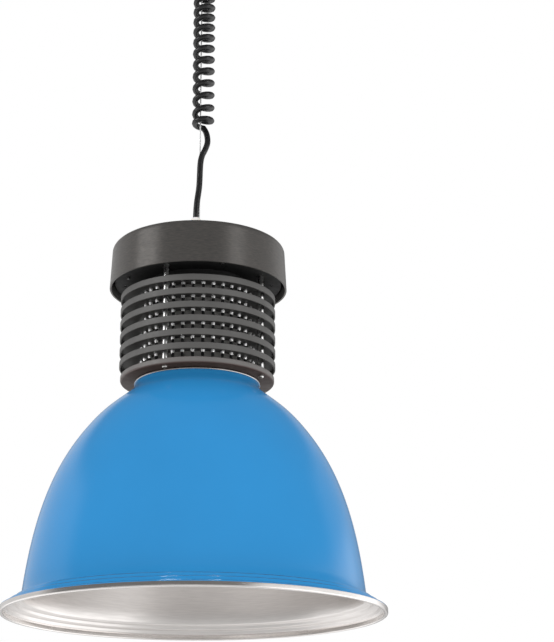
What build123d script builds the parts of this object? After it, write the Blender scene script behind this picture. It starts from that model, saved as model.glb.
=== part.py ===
"""Hanging grow lamp: bell reflector, finned heat sink, drum cap, wire suspension and coiled cord.

The origin is the centre of the rim's lowest plane. +Z points up and -Y is the front. Lengths are in
millimetres. Round parts share the Z axis unless a section says otherwise.
"""

from build123d import *
import math
import os

os.makedirs("parts", exist_ok=True)

# ---------------------------------------------------------------- driving dimensions

gap = 0.1  # assembly clearance between pieces that touch in the real lamp
sheet = 1.5  # spun and pressed sheet metal

# reflector
rim_radius = 194.4
hem_width = 4.0  # the rim's edge is folded back on itself
hem_height = 6.0
hem_rounding = 1.5
neck_radius = 65.0
neck_bead_radius = 1.3
neck_top = 242.5
neck_bottom = 237.5
neck_opening = 46.0

# heat sink
ring_radius = 82.1
ring_count = 6
ring_pitch = 14.6
lip_height = 6.6
lip_thickness = 1.4
plate_bottom = neck_top + gap
plate_top = plate_bottom + 6.5
plate_radius = 80.8
core_radius = 55.0
core_wall = 4.0
core_floor = 8.0
pin_circle = 60.0
pin_radius = 1.5
pin_count = 36
pin_start = 7.8  # degrees from +X to the first pin
rod_circle = 73.5
rod_radius = 1.5
rod_start = 66.2  # degrees from +X to the first tie rod
spacer_radius = 3.0

# drum cap and what it covers
cap_bottom = 346.0
cap_height = 47.2
cap_low_radius = 94.4
cap_high_radius = 92.0
cap_wall = 1.8
cap_rounding = 7.0
tray_bottom = 351.6
tray_thickness = 2.0
tray_radius = 88.5
standoff_circle = 78.0
standoff_start = 21.2  # degrees, half way between the tie rods
driver_length = 116.0
driver_width = 62.0
driver_height = 20.3
bridge_top = 383.5
bridge_width = 18.0
bridge_span = 144.0

# light source under the base plate
led_side = 38.0
holder_radius = 32.0
holder_height = 6.0
core_screw_circle = 38.0
reflector_screw_circle = 55.0
retainer_radius = 60.0
retainer_bottom = 224.0
glass_radius = 49.8
glass_thickness = 4.0

# cord and wire
cord_radius = 3.25
wire_radius = 0.8
gland_x = -3.0
gland_y = -13.0
gland_top = 424.0
coil_x = 3.0
coil_radius = 9.25
coil_base = 545.2  # height of the first turn where it passes +X
coil_turns = 14

# suspension
grip_bottom = 790.0
grip_top = 816.0
grip_radius = 7.0
grip_chamber_top = 812.0
cord_y = 14.0  # the cord runs up beside the gripper here
cord_end = 822.0
lower_pivot = 825.0
upper_pivot = 840.0
pivot_pin_radius = 2.0
link_side = 8.0
ear_thickness = 2.0
ear_radius = 5.0
ceiling = 860.0
bracket_thickness = 2.0
bracket_width = 24.0
screw_spacing = 60.0
canopy_radius = 62.0
canopy_height = 55.0
canopy_wall = 1.2
canopy_opening = 38.0

upward = (Align.CENTER, Align.CENTER, Align.MIN)
downward = (Align.CENTER, Align.CENTER, Align.MAX)
centred = (Align.CENTER, Align.CENTER, Align.CENTER)

# heights that several pieces share
ring_tops = [plate_top + ring_pitch * (ring_count - i) for i in range(ring_count)]
tray_top = tray_bottom + tray_thickness
tray_seat = tray_top + gap
cap_top = cap_bottom + cap_height
cap_ceiling = cap_top - cap_wall
bridge_bottom = bridge_top - 2.5


# ---------------------------------------------------------------- helpers


def inset(outline, distance):
    """Moves the points of an (r, z) outline towards the axis, square to the outline."""
    moved = []
    for i, (r, z) in enumerate(outline):
        before = outline[max(i - 1, 0)]
        after = outline[min(i + 1, len(outline) - 1)]
        run, rise = after[0] - before[0], after[1] - before[1]
        length = math.hypot(run, rise)
        moved.append((r + distance * rise / length, z - distance * run / length))
    return moved


def coil_point(turn):
    """Centre of the cord after so many turns from +X, counter-clockwise seen from above."""
    angle = 2 * math.pi * turn
    rise = 16.0 * turn - 0.2 * turn**2 if turn > 0 else 6.0 * turn
    x = coil_x + coil_radius * math.cos(angle)
    return (x, coil_radius * math.sin(angle), coil_base + rise)


# ---------------------------------------------------------------- reflector

bell = [
    (neck_radius + 4.5, 230.5),
    (82.8, 220.0),
    (97.0, 208.0),
    (113.4, 190.0),
    (135.6, 157.0),
    (155.4, 110.0),
    (168.0, 56.0),
    (173.1, 18.6),
]
flare = [
    (173.1, 18.6),
    (175.2, 16.0),
    (179.6, 14.6),
    (181.2, 11.8),
    (186.4, 10.2),
    (188.0, 7.2),
    (rim_radius - hem_width + 1.0, 5.8),
]
neck = [(neck_opening, neck_top), (neck_radius, neck_top), (neck_radius, neck_bottom)]

with BuildPart() as reflector:
    with BuildSketch(Plane.XZ):
        with BuildLine():
            Polyline(*neck)
            Line(neck[-1], bell[0])
            Spline(*bell)
            Polyline(*flare)
            inner_bell = inset(bell, sheet)
            inner_flare = [(r - 0.9, z - 1.2) for r, z in flare]
            inner_neck_radius = neck_radius - sheet
            Line(flare[-1], inner_flare[-1])
            Polyline(*inner_flare)
            Line(inner_flare[0], inner_bell[-1])
            Spline(*inner_bell)
            Polyline(
                inner_bell[0],
                (inner_neck_radius, neck_bottom - 0.6),
                (inner_neck_radius, neck_top - sheet),
                (neck_opening, neck_top - sheet),
                (neck_opening, neck_top),
            )
        make_face()
        with Locations((rim_radius - hem_width / 2, hem_height / 2)):
            RectangleRounded(hem_width, hem_height, hem_rounding)
        with Locations((neck_radius, neck_top - neck_bead_radius)):
            Circle(neck_bead_radius)
    revolve(axis=Axis.Z)
    with PolarLocations(reflector_screw_circle, 4):
        Cylinder(1.7, neck_top + sheet, align=upward, mode=Mode.SUBTRACT)
reflector.part.label = "reflector"
export_step(reflector.part, "parts/reflector.step")

# ---------------------------------------------------------------- heat sink

# The base plate closes the stack: the rods, the core, the reflector and the light source screw to it.
with BuildPart(Plane.XY.offset(plate_bottom)) as base_plate:
    Cylinder(plate_radius, plate_top - plate_bottom, align=upward)
    fillet(base_plate.edges().filter_by(GeomType.CIRCLE), 1.8)
    with PolarLocations(rod_circle, 4, start_angle=rod_start):
        Hole(rod_radius + gap)
    with PolarLocations(core_screw_circle, 4, start_angle=45):
        Hole(2.1)
        Cone(4.1, 2.1, 2.2, align=upward, mode=Mode.SUBTRACT)
    with PolarLocations(reflector_screw_circle, 4):
        Cylinder(1.6, 5.2, align=upward, mode=Mode.SUBTRACT)
    with Locations((26.5, 0), (-26.5, 0)):
        Cylinder(1.6, 4.2, align=upward, mode=Mode.SUBTRACT)
    with Locations((0, core_screw_circle)):
        Hole(5.0)
base_plate.part.label = "base_plate"
export_step(base_plate.part, "parts/base_plate.step")

for number, top in enumerate(ring_tops, start=1):
    with BuildPart() as fin_ring:
        with BuildSketch(Plane.XY.offset(top)):
            Circle(ring_radius)
            Circle(core_radius + gap, mode=Mode.SUBTRACT)
            with PolarLocations(pin_circle, pin_count, start_angle=pin_start):
                Circle(pin_radius + gap, mode=Mode.SUBTRACT)
            with PolarLocations(rod_circle, 4, start_angle=rod_start):
                Circle(rod_radius + gap, mode=Mode.SUBTRACT)
        extrude(amount=-sheet)
        with BuildSketch(Plane.XY.offset(top)):
            Circle(ring_radius)
            Circle(ring_radius - lip_thickness, mode=Mode.SUBTRACT)
        extrude(amount=-lip_height)
        rims = fin_ring.edges().filter_by(GeomType.CIRCLE).sort_by(SortBy.RADIUS)
        fillet(rims.filter_by(lambda e: e.radius > ring_radius - 0.01), 0.6)
    fin_ring.part.label = f"fin_ring_{number}"
    export_step(fin_ring.part, f"parts/fin_ring_{number}.step")

with BuildPart(Plane.XY.offset(plate_top + gap)) as heat_pins:
    with PolarLocations(pin_circle, pin_count, start_angle=pin_start):
        Cylinder(pin_radius, ring_tops[0] - plate_top + 2.0, align=upward)
heat_pins.part.label = "heat_pins"
export_step(heat_pins.part, "parts/heat_pins.step")

with BuildPart(Plane.XY.offset(plate_top + gap)) as heat_sink_core:
    Cylinder(core_radius, tray_bottom - gap - plate_top - gap, align=upward)
    with Locations((0, 0, core_floor)):
        Cylinder(core_radius - core_wall, ring_pitch * 8, align=upward, mode=Mode.SUBTRACT)
    with PolarLocations(core_screw_circle, 4, start_angle=45):
        Cylinder(1.8, core_floor, align=upward, mode=Mode.SUBTRACT)
    with Locations((0, core_screw_circle)):
        Cylinder(5.0, core_floor, align=upward, mode=Mode.SUBTRACT)
heat_sink_core.part.label = "heat_sink_core"
export_step(heat_sink_core.part, "parts/heat_sink_core.step")

# Countersunk screws pass up through the base plate into the core's floor.
with BuildPart(Plane.XY.offset(plate_bottom + gap)) as core_screws:
    with PolarLocations(core_screw_circle, 4, start_angle=45):
        Cone(3.9, 1.7, 2.2, align=upward)
        Cylinder(1.7, 12.0, align=upward)
core_screws.part.label = "core_screws"
export_step(core_screws.part, "parts/core_screws.step")

# Four rods hold base plate, rings and driver tray together. Their heads are under the base plate.
with BuildPart(Plane.XY.offset(plate_bottom - gap)) as tie_rods:
    with PolarLocations(rod_circle, 4, start_angle=rod_start):
        Cylinder(3.0, 2.2, align=downward)
        Cylinder(rod_radius, tray_top + 5.0 - plate_bottom, align=upward)
tie_rods.part.label = "tie_rods"
export_step(tie_rods.part, "parts/tie_rods.step")

with BuildPart(Plane.XY.offset(tray_seat)) as tie_nuts:
    with BuildSketch(Plane.XY.offset(tray_seat)):
        with PolarLocations(rod_circle, 4, start_angle=rod_start):
            RegularPolygon(3.2, 6)
            Circle(rod_radius + 0.05, mode=Mode.SUBTRACT)
    extrude(amount=2.6)
tie_nuts.part.label = "tie_nuts"
export_step(tie_nuts.part, "parts/tie_nuts.step")

# A spacer tube on each rod sets the distance from each web to the next one, and to the tray.
with BuildPart() as ring_spacers:
    for level in [plate_top, *ring_tops]:
        above = tray_bottom if level == ring_tops[0] else level + ring_pitch - sheet
        with BuildSketch(Plane.XY.offset(level + gap / 2)):
            with PolarLocations(rod_circle, 4, start_angle=rod_start):
                Circle(spacer_radius)
                Circle(rod_radius + gap, mode=Mode.SUBTRACT)
        extrude(amount=above - level - gap)
ring_spacers.part.label = "ring_spacers"
export_step(ring_spacers.part, "parts/ring_spacers.step")

# ---------------------------------------------------------------- light source

with BuildPart() as thermal_pad:
    with BuildSketch(Plane.XY.offset(plate_bottom - 0.05)):
        Rectangle(led_side + 4, led_side + 4)
    extrude(amount=-0.5)
thermal_pad.part.label = "thermal_pad"
export_step(thermal_pad.part, "parts/thermal_pad.step")

led_top = plate_bottom - 0.6
led_bottom = led_top - 2.0
with BuildPart() as led_board:
    with BuildSketch(Plane.XY.offset(led_top)):
        Rectangle(led_side, led_side)
    extrude(amount=-2.0)
    chamfer(led_board.edges().filter_by(Axis.Z), 2.0)
led_board.part.label = "led_board"
export_step(led_board.part, "parts/led_board.step")

with BuildPart(Plane.XY.offset(led_bottom - 0.05)) as led_phosphor:
    Cylinder(14.0, 0.8, align=downward)
    fillet(led_phosphor.faces().sort_by(Axis.Z)[0].edges(), 0.4)
led_phosphor.part.label = "led_phosphor"
export_step(led_phosphor.part, "parts/led_phosphor.step")

with BuildPart() as led_holder:
    with BuildSketch(Plane.XY.offset(plate_bottom - 0.05)):
        Circle(holder_radius)
    extrude(amount=-holder_height)
    with BuildSketch(Plane.XY.offset(plate_bottom - 0.05)):
        Rectangle(led_side + 4.6, led_side + 4.6)
    extrude(amount=led_bottom - plate_bottom, mode=Mode.SUBTRACT)
    with Locations((0, 0, led_bottom + gap)):
        Cone(21.0, 16.0, holder_height, align=downward, mode=Mode.SUBTRACT)
    with Locations((26.5, 0, plate_bottom), (-26.5, 0, plate_bottom)):
        Cylinder(1.6, holder_height * 2, align=downward, mode=Mode.SUBTRACT)
led_holder.part.label = "led_holder"
export_step(led_holder.part, "parts/led_holder.step")

with BuildPart(Plane.XY.offset(plate_bottom - holder_height - gap)) as holder_screws:
    with Locations((26.5, 0), (-26.5, 0)):
        Cylinder(2.6, 1.8, align=downward)
        Cylinder(1.5, holder_height + 4.0, align=upward)
holder_screws.part.label = "holder_screws"
export_step(holder_screws.part, "parts/holder_screws.step")

# Two insulated leads rise through the base plate and the core to the side of the driver.
with BuildPart() as led_leads:
    for x in (-2.0, 2.0):
        with BuildLine():
            Polyline(
                (x, holder_radius + 0.3, plate_bottom - 3.0),
                (x, core_screw_circle, plate_bottom - 1.2),
                (x, core_screw_circle, tray_seat + 6.0),
                (x, driver_width / 2 + 0.8, tray_seat + 10.0),
            )
        with BuildSketch(Plane.XZ.offset(-holder_radius - 0.3)):
            with Locations((x, plate_bottom - 3.0)):
                Circle(0.9)
        sweep(transition=Transition.ROUND)
led_leads.part.label = "led_leads"
export_step(led_leads.part, "parts/led_leads.step")

with BuildPart() as glass_retainer:
    with BuildSketch(Plane.XZ):
        with Locations((glass_radius + gap, retainer_bottom)):
            Rectangle(2.0, neck_top - sheet - gap - retainer_bottom, align=(Align.MIN, Align.MIN))
        with Locations((neck_opening - 1, retainer_bottom)):
            Rectangle(5.0, 1.8, align=(Align.MIN, Align.MIN))
        with Locations((glass_radius + 1, neck_top - sheet - gap)):
            Rectangle(retainer_radius - glass_radius - 1, 1.8, align=(Align.MIN, Align.MAX))
    revolve(axis=Axis.Z)
    with PolarLocations(reflector_screw_circle, 4):
        Cylinder(1.7, neck_top, align=upward, mode=Mode.SUBTRACT)
glass_retainer.part.label = "glass_retainer"
export_step(glass_retainer.part, "parts/glass_retainer.step")

glass_bottom = retainer_bottom + 1.8 + gap
with BuildPart(Plane.XY.offset(glass_bottom)) as glass_cover:
    Cylinder(glass_radius, glass_thickness, align=upward)
    chamfer(glass_cover.edges(), 0.4)
glass_cover.part.label = "glass_cover"
export_step(glass_cover.part, "parts/glass_cover.step")

# The gasket is a silicone sleeve squeezed between the glass and the reflector's neck.
with BuildPart() as glass_gasket:
    with BuildSketch(Plane.XY.offset(glass_bottom + glass_thickness + gap)):
        Circle(glass_radius)
        Circle(glass_radius - 3.0, mode=Mode.SUBTRACT)
    extrude(until=None, amount=neck_top - sheet - gap - glass_bottom - glass_thickness - gap)
glass_gasket.part.label = "glass_gasket"
export_step(glass_gasket.part, "parts/glass_gasket.step")

with BuildPart(Plane.XY.offset(neck_top - sheet - gap - 1.8 - gap)) as reflector_screws:
    with PolarLocations(reflector_screw_circle, 4):
        Cylinder(2.8, 2.0, align=downward)
        Cylinder(1.5, 8.4, align=upward)
reflector_screws.part.label = "reflector_screws"
export_step(reflector_screws.part, "parts/reflector_screws.step")

# ---------------------------------------------------------------- driver and its tray

with BuildPart() as driver_tray:
    with BuildSketch(Plane.XY.offset(tray_bottom)):
        Circle(tray_radius)
        with PolarLocations(rod_circle, 4, start_angle=rod_start):
            Circle(rod_radius + gap, mode=Mode.SUBTRACT)
        with PolarLocations(standoff_circle, 4, start_angle=standoff_start):
            Circle(1.7, mode=Mode.SUBTRACT)
        with Locations((0, core_screw_circle)):
            Circle(5.0, mode=Mode.SUBTRACT)
        with Locations((62.5, 0), (-62.5, 0), (78, 0), (-78, 0)):
            Circle(1.6, mode=Mode.SUBTRACT)
    extrude(amount=tray_thickness)
driver_tray.part.label = "driver_tray"
export_step(driver_tray.part, "parts/driver_tray.step")

with BuildPart(Plane.XY.offset(tray_seat)) as driver_case:
    Box(driver_length + 16, 20, sheet, align=upward)
    Box(driver_length, driver_width, driver_height, align=upward)
    with Locations((0, 0, sheet)):
        Box(
            driver_length - 2 * sheet,
            driver_width - 2 * sheet,
            driver_height,
            align=upward,
            mode=Mode.SUBTRACT,
        )
    with Locations((62.5, 0), (-62.5, 0)):
        Cylinder(1.6, sheet, align=upward, mode=Mode.SUBTRACT)
driver_case.part.label = "driver_case"
export_step(driver_case.part, "parts/driver_case.step")

board_bottom = tray_seat + sheet + 2.5
with BuildPart(Plane.XY.offset(board_bottom)) as driver_board:
    Box(driver_length - 5, driver_width - 5, 1.6, align=upward)
    with GridLocations(driver_length - 14, driver_width - 14, 2, 2):
        Cylinder(3.0, 2.4, align=downward)
driver_board.part.label = "driver_board"
export_step(driver_board.part, "parts/driver_board.step")

# Transformer, three storage capacitors and a choke, each standing on the board.
with BuildPart(Plane.XY.offset(board_bottom + 1.6 + gap)) as driver_components:
    Box(26, 22, 12, align=upward)
    with Locations((30, 14), (30, 0), (30, -14)):
        Cylinder(5.0, 13.0, align=upward)
    with Locations((-34, 0)):
        Cylinder(8.0, 9.0, align=upward)
driver_components.part.label = "driver_components"
export_step(driver_components.part, "parts/driver_components.step")

with BuildPart(Plane.XY.offset(tray_seat + driver_height + gap)) as driver_lid:
    Box(driver_length, driver_width, sheet, align=upward)
    fillet(driver_lid.edges().filter_by(Axis.Z), 2.0)
driver_lid.part.label = "driver_lid"
export_step(driver_lid.part, "parts/driver_lid.step")

# Hanger bridge: a strip bent over the driver that carries the lamp's weight to the wire.
strip = bridge_top - bridge_bottom
with BuildPart(Plane.XY.offset(tray_seat)) as hanger_bridge:
    with Locations((0, 0, bridge_bottom - tray_seat)):
        Box(bridge_span, bridge_width, strip, align=upward)
    for side in (-1, 1):
        with Locations((side * (bridge_span - strip) / 2, 0, 0)):
            Box(strip, bridge_width, bridge_top - tray_seat, align=upward)
        with Locations((side * (bridge_span / 2 + 5), 0, 0)):
            Box(12, bridge_width, strip, align=upward)
    with Locations((0, 0), (78, 0), (-78, 0)):
        Hole(2.6)
hanger_bridge.part.label = "hanger_bridge"
export_step(hanger_bridge.part, "parts/hanger_bridge.step")

with BuildPart(Plane.XY.offset(tray_seat)) as tray_screws:
    for x, height in ((62.5, sheet), (78.0, strip)):
        with Locations((x, 0, height + gap), (-x, 0, height + gap)):
            Cylinder(3.0, 1.8, align=upward)
            Cylinder(1.5, height + tray_thickness + gap, align=downward)
tray_screws.part.label = "tray_screws"
export_step(tray_screws.part, "parts/tray_screws.step")

with BuildPart(Plane.XY.offset(tray_seat)) as lamp_terminal:
    with Locations((gland_x, -50)):
        Box(30, 16, 14, align=upward)
    fillet(lamp_terminal.edges().filter_by(Axis.Z), 1.5)
    with Locations((gland_x, -50, 14)):
        with GridLocations(9, 1, 3, 1):
            Cylinder(2.4, 5, align=downward, mode=Mode.SUBTRACT)
lamp_terminal.part.label = "lamp_terminal"
export_step(lamp_terminal.part, "parts/lamp_terminal.step")

# The cord's three cores spread from the end of its sheath to the terminal block.
with BuildPart() as cord_cores:
    for place in (-1, 0, 1):
        start = (gland_x + 2 * place, gland_y, 383.6)
        with BuildLine():
            FilletPolyline(
                start,
                (start[0], gland_y, 379.0),
                (gland_x + 9 * place, -50, 375.0),
                (gland_x + 9 * place, -50, tray_seat + 9.5),
                radius=2.5,
            )
        with BuildSketch(Plane(origin=start, z_dir=(0, 0, -1))):
            Circle(0.9)
        sweep()
cord_cores.part.label = "cord_cores"
export_step(cord_cores.part, "parts/cord_cores.step")

# ---------------------------------------------------------------- cap

with BuildPart() as top_cap:
    with BuildSketch(Plane.XY.offset(cap_bottom)):
        Circle(cap_low_radius)
    with BuildSketch(Plane.XY.offset(cap_top)):
        Circle(cap_high_radius)
    loft()
    fillet(top_cap.faces().sort_by(Axis.Z)[-1].edges(), cap_rounding)
    offset(amount=-cap_wall, openings=top_cap.faces().sort_by(Axis.Z)[0])
    with Locations((0, 0, cap_top)):
        Cylinder(2.7, cap_wall * 2, align=downward, mode=Mode.SUBTRACT)
    with Locations((gland_x, gland_y, cap_top)):
        Cylinder(5.3, cap_wall * 2, align=downward, mode=Mode.SUBTRACT)
    with Locations((0, 0, cap_top)):
        with PolarLocations(standoff_circle, 4, start_angle=standoff_start):
            Cylinder(1.7, cap_wall * 2, align=downward, mode=Mode.SUBTRACT)
top_cap.part.label = "top_cap"
export_step(top_cap.part, "parts/top_cap.step")

with BuildPart() as cap_standoffs:
    with BuildSketch(Plane.XY.offset(tray_seat)):
        with PolarLocations(standoff_circle, 4, start_angle=standoff_start):
            RegularPolygon(3.6, 6)
    extrude(amount=cap_ceiling - gap - tray_seat)
    with BuildSketch(Plane.XY.offset(cap_ceiling)):
        with PolarLocations(standoff_circle, 4, start_angle=standoff_start):
            Circle(1.6)
    extrude(amount=-12.0, mode=Mode.SUBTRACT)
    with BuildSketch(Plane.XY.offset(tray_seat)):
        with PolarLocations(standoff_circle, 4, start_angle=standoff_start):
            Circle(1.5)
    extrude(amount=-4.0)
cap_standoffs.part.label = "cap_standoffs"
export_step(cap_standoffs.part, "parts/cap_standoffs.step")

with BuildPart(Plane.XY.offset(cap_top + gap)) as cap_screws:
    with PolarLocations(standoff_circle, 4, start_angle=standoff_start):
        Cylinder(3.2, 1.8, align=upward)
        Cylinder(1.5, 10.0, align=downward)
    fillet(cap_screws.faces().sort_by(Axis.Z)[-4:].edges(), 1.0)
cap_screws.part.label = "cap_screws"
export_step(cap_screws.part, "parts/cap_screws.step")

# ---------------------------------------------------------------- wire anchor

# A hollow bolt goes up through bridge and cap, and the wire's crimped stop bears on its head.
with BuildPart(Plane.XY.offset(bridge_bottom - gap)) as wire_bolt:
    Cylinder(4.6, 2.9, align=downward)
    Cylinder(2.5, 18.5, align=upward)
    Cylinder(1.0, 60.0, align=centred, mode=Mode.SUBTRACT)
wire_bolt.part.label = "wire_bolt"
export_step(wire_bolt.part, "parts/wire_bolt.step")

with BuildPart() as wire_bolt_nut:
    with BuildSketch(Plane.XY.offset(cap_top + gap)):
        RegularPolygon(4.6, 6)
        Circle(2.6, mode=Mode.SUBTRACT)
    extrude(amount=3.2)
wire_bolt_nut.part.label = "wire_bolt_nut"
export_step(wire_bolt_nut.part, "parts/wire_bolt_nut.step")

stop_top = bridge_bottom - gap - 2.9 - gap
with BuildPart(Plane.XY.offset(stop_top)) as wire_stop:
    Cylinder(2.2, 2.0, align=downward)
    Cylinder(wire_radius + 0.02, 6.0, align=centred, mode=Mode.SUBTRACT)
wire_stop.part.label = "wire_stop"
export_step(wire_stop.part, "parts/wire_stop.step")

with BuildPart(Plane.XY.offset(stop_top - 1.9)) as suspension_wire:
    Cylinder(wire_radius, grip_chamber_top + 2.0 - stop_top, align=upward)
suspension_wire.part.label = "suspension_wire"
export_step(suspension_wire.part, "parts/suspension_wire.step")

# ---------------------------------------------------------------- cord gland

gland_bore = cord_radius + gap
with BuildPart(Plane((gland_x, gland_y, cap_top + gap))) as gland_body:
    Cylinder(7.5, 3.0, align=upward)
    chamfer(gland_body.faces().sort_by(Axis.Z)[-1].edges(), 0.8)
    Cylinder(5.2, 23.0, align=upward)
    Cylinder(5.2, 6.0, align=downward)
    Hole(gland_bore)
gland_body.part.label = "gland_body"
export_step(gland_body.part, "parts/gland_body.step")

with BuildPart(Plane((gland_x, gland_y, cap_ceiling - gap))) as gland_locknut:
    with BuildSketch(Plane((gland_x, gland_y, cap_ceiling - gap))):
        RegularPolygon(7.6, 6)
        Circle(5.3, mode=Mode.SUBTRACT)
    extrude(amount=-3.0)
gland_locknut.part.label = "gland_locknut"
export_step(gland_locknut.part, "parts/gland_locknut.step")

# The clamping nut screws over the gland's barrel and tapers to the cord.
nut_bottom = cap_top + 14.0
nut_height = 14.5
with BuildPart(Plane((gland_x, gland_y, nut_bottom))) as gland_nut:
    Cylinder(6.6, nut_height, align=upward)
    with Locations((0, 0, nut_height)):
        Cone(6.6, 4.4, gland_top - nut_bottom - nut_height, align=upward)
    Cylinder(5.3, 9.4, align=upward, mode=Mode.SUBTRACT)
    Hole(gland_bore)
gland_nut.part.label = "gland_nut"
export_step(gland_nut.part, "parts/gland_nut.step")

# ---------------------------------------------------------------- cord

# The lower run leaves the gland upright, bends round the wire and joins the coil from below.
gland_mouth = (gland_x, gland_y, gland_top)
cord_rise = [
    gland_mouth,
    (-2.2, -12.0, 442.0),
    (0.0, -9.5, 463.0),
    (0.8, -7.5, 489.0),
    (2.4, -6.0, 500.0),
    (5.6, -4.0, 508.5),
    (8.0, -1.5, 517.5),
    (7.6, 3.0, 527.0),
]
coil_start = coil_point(-0.75)
coil_end = coil_point(coil_turns + 0.25)
below_coil = (coil_start[0] + 4 * gap, coil_start[1], coil_start[2])
above_coil = (coil_end[0] - 4 * gap, coil_end[1], coil_end[2])
turning_left = (-1.0, 0.0, 0.13)
straight_up = (0.0, 0.0, 1.0)

with BuildPart() as cord_tail:
    with BuildLine() as run:
        Line((gland_x, gland_y, 384.0), gland_mouth)
        Spline(*cord_rise, below_coil, tangents=(straight_up, turning_left))
    with BuildSketch(Plane(origin=run.line @ 0, z_dir=run.line % 0)):
        Circle(cord_radius)
    sweep()
cord_tail.part.label = "cord_tail"
export_step(cord_tail.part, "parts/cord_tail.step")

with BuildPart() as cord_coil:
    steps = (coil_turns + 1) * 8
    with BuildLine() as run:
        Spline([coil_point(-0.75 + i / 8) for i in range(steps + 1)])
    with BuildSketch(Plane(origin=run.line @ 0, z_dir=run.line % 0)):
        Circle(cord_radius)
    sweep()
cord_coil.part.label = "cord_coil"
export_step(cord_coil.part, "parts/cord_coil.step")

with BuildPart() as cord_head:
    with BuildLine() as run:
        Spline(
            above_coil,
            (-1.6, 10.6, coil_end[2] + 5.0),
            (0.0, cord_y, coil_end[2] + 22.0),
            tangents=(turning_left, straight_up),
        )
        Line((0.0, cord_y, coil_end[2] + 22.0), (0.0, cord_y, cord_end))
    with BuildSketch(Plane(origin=run.line @ 0, z_dir=run.line % 0)):
        Circle(cord_radius)
    sweep()
cord_head.part.label = "cord_head"
export_step(cord_head.part, "parts/cord_head.step")

# ---------------------------------------------------------------- wire gripper

with BuildPart(Plane.XY.offset(grip_bottom)) as gripper_body:
    Cylinder(grip_radius, grip_top - grip_bottom, align=upward)
    chamfer(gripper_body.faces().sort_by(Axis.Z)[0].edges(), 0.8)
    for side in (-1, 1):
        ear_x = side * (link_side / 2 + 0.2 + ear_thickness / 2)
        with Locations((ear_x, 0, lower_pivot - grip_bottom)):
            Cylinder(ear_radius, ear_thickness, rotation=(0, 90, 0))
            Box(ear_thickness, 2 * ear_radius, lower_pivot - grip_top + 1, align=downward)
    Cylinder(4.6, grip_chamber_top - grip_bottom, align=upward, mode=Mode.SUBTRACT)
    Cylinder(1.1, grip_top - grip_bottom, align=upward, mode=Mode.SUBTRACT)
    with Locations((0, 0, lower_pivot - grip_bottom)):
        Cylinder(pivot_pin_radius + 0.05, 30, rotation=(0, 90, 0), mode=Mode.SUBTRACT)
gripper_body.part.label = "gripper_body"
export_step(gripper_body.part, "parts/gripper_body.step")

# Pushing the sleeve up frees the balls from the wire.
with BuildPart(Plane.XY.offset(grip_bottom)) as release_sleeve:
    Cylinder(4.5, 7.0, align=upward)
    Cylinder(4.5, 6.0, align=downward)
    with Locations((0, 0, -6.0)):
        Cylinder(5.6, 3.0, align=downward)
    chamfer(release_sleeve.faces().sort_by(Axis.Z)[0].edges(), 0.8)
    Cylinder(1.2, 40, align=centred, mode=Mode.SUBTRACT)
release_sleeve.part.label = "release_sleeve"
export_step(release_sleeve.part, "parts/release_sleeve.step")

ball_radius = 1.2
with BuildPart(Plane.XY.offset(grip_bottom + 7.0 + ball_radius + gap)) as grip_balls:
    with PolarLocations(wire_radius + ball_radius + 0.05, 3):
        Sphere(ball_radius)
grip_balls.part.label = "grip_balls"
export_step(grip_balls.part, "parts/grip_balls.step")

spring_bottom = grip_bottom + 7.0 + 2 * ball_radius + 0.8
spring_turns = 4
with BuildPart() as release_spring:
    with BuildLine():
        spring_pitch = (grip_chamber_top - 0.6 - spring_bottom) / spring_turns
        coils = Helix(spring_pitch, spring_pitch * spring_turns, 3.6, center=(0, 0, spring_bottom))
    with BuildSketch(Plane(origin=coils @ 0, z_dir=coils % 0)):
        Circle(0.4)
    sweep(is_frenet=True)
release_spring.part.label = "release_spring"
export_step(release_spring.part, "parts/release_spring.step")

# The clamp block holds the cord's upper run beside the gripper.
with BuildPart(Plane.XY.offset(grip_bottom + 10)) as cord_clamp:
    with Locations((0, 12.5)):
        Box(12, 14, 12, align=upward)
    fillet(cord_clamp.edges().filter_by(Axis.Z), 2.0)
    Cylinder(grip_radius + gap, 12, align=upward, mode=Mode.SUBTRACT)
    with Locations((0, cord_y)):
        Hole(cord_radius + 0.05)
cord_clamp.part.label = "cord_clamp"
export_step(cord_clamp.part, "parts/cord_clamp.step")

# ---------------------------------------------------------------- swivel link

with BuildPart() as swivel_link:
    with BuildSketch(Plane.XY.offset(lower_pivot - link_side / 2)):
        RectangleRounded(link_side, link_side, 1.0)
    extrude(amount=upper_pivot - lower_pivot + link_side)
    with Locations((0, 0, lower_pivot)):
        Cylinder(pivot_pin_radius + 0.06, 20, rotation=(0, 90, 0), mode=Mode.SUBTRACT)
    with Locations((0, 0, upper_pivot)):
        Cylinder(pivot_pin_radius + 0.06, 20, rotation=(90, 0, 0), mode=Mode.SUBTRACT)
swivel_link.part.label = "swivel_link"
export_step(swivel_link.part, "parts/swivel_link.step")

with BuildPart() as lower_pin:
    with Locations((0, 0, lower_pivot)):
        Cylinder(pivot_pin_radius, 15, rotation=(0, 90, 0))
    chamfer(lower_pin.edges().filter_by(GeomType.CIRCLE), 0.4)
lower_pin.part.label = "lower_pin"
export_step(lower_pin.part, "parts/lower_pin.step")

with BuildPart() as upper_pin:
    with Locations((0, 0, upper_pivot)):
        Cylinder(pivot_pin_radius, 15, rotation=(90, 0, 0))
    chamfer(upper_pin.edges().filter_by(GeomType.CIRCLE), 0.4)
upper_pin.part.label = "upper_pin"
export_step(upper_pin.part, "parts/upper_pin.step")

# ---------------------------------------------------------------- ceiling bracket and canopy

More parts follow.
